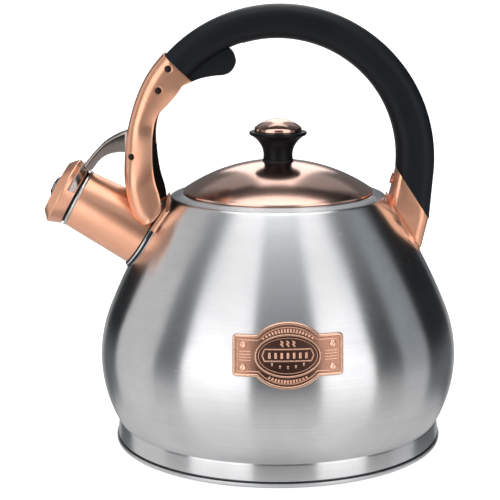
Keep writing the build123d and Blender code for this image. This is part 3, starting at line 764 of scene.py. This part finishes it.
def pin_head(name, x, z, radius, y, nodes):
    """A recessed head on each side, with a rolled rim; its near-black colour is painted shade of the hole
    the pin sits in.
    """
    for side in (-1, 1):
        bm = bmesh.new()
        steps = 32
        rings = []
        for r, depth in ((0.0, 0.0), (0.55, 0.0), (0.8, 0.1), (1.0, 0.5), (1.0, 1.6)):
            if r == 0:
                rings.append([bm.verts.new((x * MM, side * (y - depth) * MM, z * MM))] * steps)
            else:
                rings.append([bm.verts.new(((x + r * radius * math.cos(2 * math.pi * k / steps)) * MM,
                                            side * (y - depth) * MM,
                                            (z + r * radius * math.sin(2 * math.pi * k / steps)) * MM))
                              for k in range(steps)])
        for a, b in zip(rings, rings[1:]):
            for k in range(steps):
                j = (k + 1) % steps
                ring = []
                for v in (a[k], a[j], b[j], b[k]):
                    if v not in ring:
                        ring.append(v)
                bm.faces.new(ring)
        obj = to_object(name + ("_near" if side < 0 else "_far"), bm)
        finish_mesh(obj, "kettle", "pin_dark", nodes if side < 0 else (), 40)


pin_head("visual_grip_screw", *SCREW, PIN_R, 12.2, ["grip_screws"])
pin_head("visual_trigger_pin", *TRIG, PIN_R, 12.2, ["trigger_pin"])
pin_head("visual_whistle_pin", *LIFT, LIFT_PIN_R, bracket_width(LIFT[1]) - 0.8, ["whistle_pin"])


# ---- lid ----------------------------------------------------------------

def dome_points(out, edge_r):
    """The lid's dome from its edge to the middle, moved outward by out."""
    radius = (LID_R ** 2 + LID_RISE ** 2) / (2 * LID_RISE)
    centre = LID_Z + LID_EDGE + LID_RISE - radius
    end = math.acos(edge_r / (radius + out))
    return arc((0, centre), radius + out, end, math.pi / 2, 40)


def lid():
    outer = dome_points(0, LID_R - 0.6)
    inner = dome_points(-0.8, MOUTH_R - 1.5)
    outer = [(max(r, 0.0), z) for r, z in outer]
    inner = [(max(r, 0.0), z) for r, z in inner]
    corners = [(*p, 0) for p in outer] + [(*p, 0) for p in reversed(inner)]
    corners += [(MOUTH_R - 1.5, LID_Z, 0.2), (LID_R, LID_Z, 0.45), (LID_R, LID_Z + 1.15, 0.5)]
    obj = lathe("visual_lid_shell", rounded(corners, 5), 256)
    finish_mesh(obj, "lid", "copper_lid", ["lid_shell"], 40)
    r = MOUTH_R - 1.4
    low, high = BODY_H - SKIRT_DROP, BODY_H + 0.1
    outline = rounded([(r - 0.8, low, 0.3), (r, low, 0.3), (r, high), (r - 0.8, high)], 4)
    skirt = lathe("visual_lid_skirt", outline, 192)
    finish_mesh(skirt, "lid", "steel_bright", ["lid_skirt"])
    z0 = LID_Z + LID_EDGE + LID_RISE + 0.5
    side = smooth_line([(8.25, z0 + 0.2), (8.1, z0 + 3.0), (8.8, z0 + 6.4), (10.9, z0 + 10.0),
                        (13.6, z0 + 12.6), (15.3, z0 + 13.5)], 6)
    knob = [(2, z0), (8.1, z0)] + [(p.x, p.y, 0) for p in side]
    knob += [(16.0, z0 + 14.2, 0.5), (15.9, z0 + 15.5, 0.4), (13.3, z0 + KNOB_H, 0.2), (2, z0 + KNOB_H)]
    obj = lathe("visual_lid_knob", rounded(knob, 8), 160)
    finish_mesh(obj, "lid", "knob_black", ["lid_knob"], 40)
    z1 = z0 + KNOB_H
    ball = (13.1 ** 2 + 5.0 ** 2) / (2 * 5.0)
    dome = arc((0, z1 + 7.0 - ball), ball, math.acos(12.9 / ball), math.pi / 2, 24)
    cap = [(0, z1), (13.1, z1, 0.2), (13.1, z1 + 1.8, 0.5)] + [(max(a, 0), b, 0) for a, b in dome]
    obj = lathe("visual_knob_cap", rounded(cap, 4), 160)
    finish_mesh(obj, "lid", "copper_lid", ["knob_cap"], 40)


lid()


# ---- badge --------------------------------------------------------------

def badge_pt(u, v, h):
    """A point h above the belly, u along and v up from the badge's middle."""
    x, z = BADGE_X + u, BADGE_Z + v
    r = wall_radius(z, h)
    return Vector((x, -math.sqrt(r * r - x * x), z))


def badge_edge(angle, grow):
    """The plate's outline, moved outward by grow, as a distance from its middle."""
    c, t = math.cos(angle), math.sin(angle)
    oval = 1 / math.hypot(c / (OVAL_SHARE * BADGE_W + grow), t / (BADGE_H / 2 + grow))
    ear = min((BADGE_W / 2 + grow) / max(abs(c), 1e-6), (EAR_SHARE * BADGE_H + grow) / max(abs(t), 1e-6))
    return max(oval, ear)


def relief(name, path, radius, h, closed=True):
    """A round bead laid along a path of (u, v) on the badge."""
    turns = [2 * math.pi * k / 10 for k in range(10)]
    pts = [badge_pt(u, v, h) for u, v in path]
    loops = []
    for i, p in enumerate(pts):
        ahead = pts[(i + 1) % len(pts)] if closed or i + 1 < len(pts) else p
        behind = pts[i - 1] if closed or i > 0 else p
        along = (ahead - behind).normalized()
        out = (badge_pt(*path[i], h + 1) - p).normalized()
        side = along.cross(out).normalized()
        loops.append([p + radius * (side * math.cos(a) + out * math.sin(a)) for a in turns])
    if closed:
        loops.append(loops[0])
    obj = loft(name, loops, caps=not closed)
    if closed:
        bm = bmesh.new()
        bm.from_mesh(obj.data)
        bmesh.ops.remove_doubles(bm, verts=bm.verts, dist=1e-6)
        bmesh.ops.recalc_face_normals(bm, faces=bm.faces)
        bm.to_mesh(obj.data)
        bm.free()
    return finish_mesh(obj, "kettle", "badge_copper", (), 50)


def dense(path, closed=True):
    """The same path with points close enough to follow the belly."""
    out = []
    ends = path[1:] + path[:1] if closed else path[1:]
    for (u0, v0), (u1, v1) in zip(path, ends):
        count = max(1, int(math.hypot(u1 - u0, v1 - v0) / 0.6))
        out += [(u0 + (u1 - u0) * k / count, v0 + (v1 - v0) * k / count) for k in range(count)]
    return out if closed else out + [path[-1]]


def slotted_head(name, u, v):
    """A screw head that stands on the badge, with a slot across it."""
    bm = bmesh.new()
    n = 32
    for r, h in ((1.6, 1.0), (1.6, 1.75), (1.3, 2.0)):
        for k in range(n):
            a = 2 * math.pi * k / n
            bm.verts.new(badge_pt(u + r * math.cos(a), v + r * math.sin(a), h) * MM)
    bm.verts.ensure_lookup_table()
    for row in (0, n):
        for k in range(n):
            j = (k + 1) % n
            bm.faces.new([bm.verts[i] for i in (row + k, row + j, row + n + j, row + n + k)])
    bm.faces.new(bm.verts[0:n])
    bm.faces.new(bm.verts[2 * n:3 * n])
    obj = to_object(name, bm)
    tilt = math.radians(28)
    c, t = math.cos(tilt), math.sin(tilt)
    corners = [(-2.2, -0.32), (2.2, -0.32), (2.2, 0.32), (-2.2, 0.32)]
    spots = [(u + t * a + c * b, v + c * a - t * b) for a, b in corners]
    groove = loft("groove", [[badge_pt(a, b, h) for a, b in spots] for h in (1.45, 3.0)])
    return cut(obj, groove)


def oval_path(a, b):
    """An oval of half width a and half height b."""
    turns = [2 * math.pi * k / 96 for k in range(96)]
    return [(a * math.cos(t), b * math.sin(t)) for t in turns]


def badge():
    """The badge's relief: plain generic shapes in place of any lettering."""
    turns = [2 * math.pi * k / 240 for k in range(240)]
    for name, inset, radius in (("rim", 0.8, 0.85), ("rim_inner", 2.6, 0.34)):
        path = [(badge_edge(a, -inset) * math.cos(a), badge_edge(a, -inset) * math.sin(a)) for a in turns]
        relief("visual_badge_" + name, path, radius, BADGE_T)
    relief("visual_badge_oval", oval_path(OVAL[0] + 0.2, OVAL[1] + 0.2), 0.55, BADGE_T)
    relief("visual_badge_oval_inner", oval_path(OVAL[0] - 1.3, OVAL[1] - 1.3), 0.22, 0.75)
    flute = 0
    for base, reach in ((90, 8), (270, 6)):
        for k in range(-reach, reach + 1):
            a = math.radians(base + 7.0 * k)
            c, t = math.cos(a), math.sin(a)
            near = 1 / math.hypot(c / (OVAL[0] + 1.5), t / (OVAL[1] + 1.5))
            far = badge_edge(a, -3.1)
            flute += 1
            if far - near > 0.5:
                ends = [(near * c, near * t), (far * c, far * t)]
                relief("visual_badge_flute_%02d" % flute, ends, 0.62, BADGE_T, False)
    bar = [(-11.8, -2.4), (11.8, -2.4), (13.0, 0.4), (11.8, 3.2), (-11.8, 3.2), (-13.0, 0.4)]
    relief("visual_badge_cartouche", dense(bar), 0.42, 0.85)
    for k in range(7):
        u = -9.3 + 3.1 * k
        relief("visual_badge_rib_%d" % k, [(u, -1.0), (u, 1.8)], 0.85, 0.7, False)
    for k in range(3):
        u = -3.0 + 3.0 * k
        wave = [(u + 0.6 * math.sin(1.2 * j), 4.6 + 0.28 * j) for j in range(11)]
        relief("visual_badge_steam_%d" % k, wave, 0.5, 0.85, False)
    for k in range(5):
        u = -8.0 + 4.0 * k
        v = -5.5 + 0.022 * u * u
        relief("visual_badge_dot_%d" % k, [(u - 0.45, v), (u + 0.45, v)], 0.95, 0.6, False)
    for side in (-1, 1):
        for k in range(4):
            v = -2.1 + 1.4 * k
            line = dense([(side * 18.8, v), (side * 24.8, v)], False)
            relief("visual_badge_line_%d_%d" % (side + 1, k), line, 0.3, BADGE_T, False)
    nodes = ["badge_rivets"]
    for side in (-1, 1):
        for up in (-1, 1):
            head = slotted_head("visual_badge_screw_%d_%d" % (side + 1, up + 1), side * HEAD_U, up * HEAD_V)
            finish_mesh(head, "kettle", "badge_copper", nodes, 35)
            nodes = ()


badge()


# ---- CAD nodes that keep their mesh -------------------------------------
SLOT_OF = {p["node"]: p["material_slot"] for p in frame["record"]["subparts"]}
# the badge plate takes the darker field copper, partly painted shade and painted dark reflection
LOOK = {"badge_plate": "badge_mid", "rear_screw": "copper", "front_foot": "copper"}
for node, obj in frame["nodes"].items():
    obj.data.set_sharp_from_angle(angle=math.radians(30))
    obj.data.materials.clear()
    obj.data.materials.append(MATS[LOOK.get(node, SLOT_OF[node])])


# ---- studio -------------------------------------------------------------

ROOM_R = 1.5                            # in metres, like everything in the studio
CAM_BACK, CAM_UP, CAM_DIP = 0.8, 0.27265, 11.71
WHITE = (1, 1, 1)
COOL = (0.88, 0.95, 1.0)


def glowing(name, color, shine, tint, glow):
    """A matt surface that gives off light of its own."""
    mat = bpy.data.materials.new(name)
    mat.use_nodes = True
    shader = next(n for n in mat.node_tree.nodes if n.type == "BSDF_PRINCIPLED")
    shader.inputs["Base Color"].default_value = (*color, 1)
    shader.inputs["Roughness"].default_value = 0.9
    shader.inputs["Specular IOR Level"].default_value = shine
    shader.inputs["Emission Color"].default_value = (*tint, 1)
    shader.inputs["Emission Strength"].default_value = glow
    return mat


def panel(name, start, end, level, bottom, top, tint, radius=ROOM_R):
    """An upright curved light panel, from one bearing to another, in degrees from the front."""
    bm = bmesh.new()
    steps = max(2, int(abs(end - start) / 4))
    low, high = [], []
    for k in range(steps + 1):
        a = math.radians(start + (end - start) * k / steps)
        x, y = radius * math.sin(a), -radius * math.cos(a)
        low.append(bm.verts.new((x, y, bottom)))
        high.append(bm.verts.new((x, y, top)))
    for k in range(steps):
        bm.faces.new((low[k], low[k + 1], high[k + 1], high[k]))
    obj = to_object(name, bm)
    obj.data.materials.append(glowing(name, (0, 0, 0), 0.0, tint, level))
    obj.visible_camera = False
    obj.visible_shadow = False
    obj.visible_diffuse = False
    return obj


FLOOR = 30
bm = bmesh.new()
bm.faces.new([bm.verts.new((x * FLOOR, y * FLOOR, 0)) for x, y in ((-1, -1), (1, -1), (1, 1), (-1, 1))])
floor = to_object("floor", bm)
floor.data.materials.append(glowing("floor_white", (0.95, 0.95, 0.95), 0.1, WHITE, 0.62))
floor.visible_glossy = False

world = bpy.data.worlds.new("studio")
bpy.context.scene.world = world
world.use_nodes = True
world.node_tree.nodes["Background"].inputs["Color"].default_value = (1, 1, 1, 1)
tree = world.node_tree
path = tree.nodes.new("ShaderNodeLightPath")
strength = tree.nodes.new("ShaderNodeMapRange")
strength.inputs["To Min"].default_value = 0.42      # what lights the part
strength.inputs["To Max"].default_value = 1.2       # what the camera sees
tree.links.new(path.outputs["Is Camera Ray"], strength.inputs["Value"])
tree.links.new(strength.outputs[0], tree.nodes["Background"].inputs["Strength"])

# heights of the four tiers, and for each stretch of bearings the light of each tier, top to bottom.
# Bearings are in degrees from the front, and below zero on the spout's side.
TIERS = ((0.95, 2.6), (-0.12, 0.95), (-0.62, -0.12), (-3.5, -0.62))
ROOM = [(-180, -150, 0.40, 0.15, 0.50, 0.60),
        (-150, -122, 0.14, 0.02, 0.18, 0.66),
        (-122, -82, 0.62, 0.74, 0.78, 0.78),
        (-82, -61, 0.25, 0.16, 0.68, 0.76),
        (-61, -17, 1.10, 1.75, 1.25, 0.92),
        (-17, 26, 0.46, 0.07, 0.58, 0.84),
        (26, 61, 1.10, 1.70, 1.20, 0.88),
        (61, 83, 0.22, 0.06, 0.60, 0.74),
        (83, 108, 0.42, 0.40, 0.66, 0.74),
        (108, 150, 0.12, 0.02, 0.18, 0.66),
        (150, 180, 0.40, 0.15, 0.50, 0.60)]
for index, (start, end, *levels) in enumerate(ROOM):
    for tier, (level, (bottom, top)) in enumerate(zip(levels, TIERS)):
        tint = COOL if level < 0.5 else WHITE
        panel("room_%02d_%d" % (index, tier), start, end, level, bottom, top, tint)
panel("back_light", 168, 192, 1.7, 0.5, 2.4, WHITE, 1.45)

sun = bpy.data.lights.new("overhead", "SUN")
sun.energy = 1.5
sun.angle = math.radians(70)
sun_obj = bpy.data.objects.new("overhead", sun)
bpy.context.scene.collection.objects.link(sun_obj)

camera = bpy.data.cameras.new("camera")
camera.sensor_width = 36.0
camera.lens = 104.44
camera.shift_x = -0.056
camera.clip_end = 100
cam = bpy.data.objects.new("camera", camera)
cam.location = (0, -CAM_BACK, CAM_UP)
cam.rotation_euler = (math.radians(90 - CAM_DIP), 0, 0)
bpy.context.scene.collection.objects.link(cam)
bpy.context.scene.camera = cam
bpy.context.scene.view_settings.view_transform = "Standard"
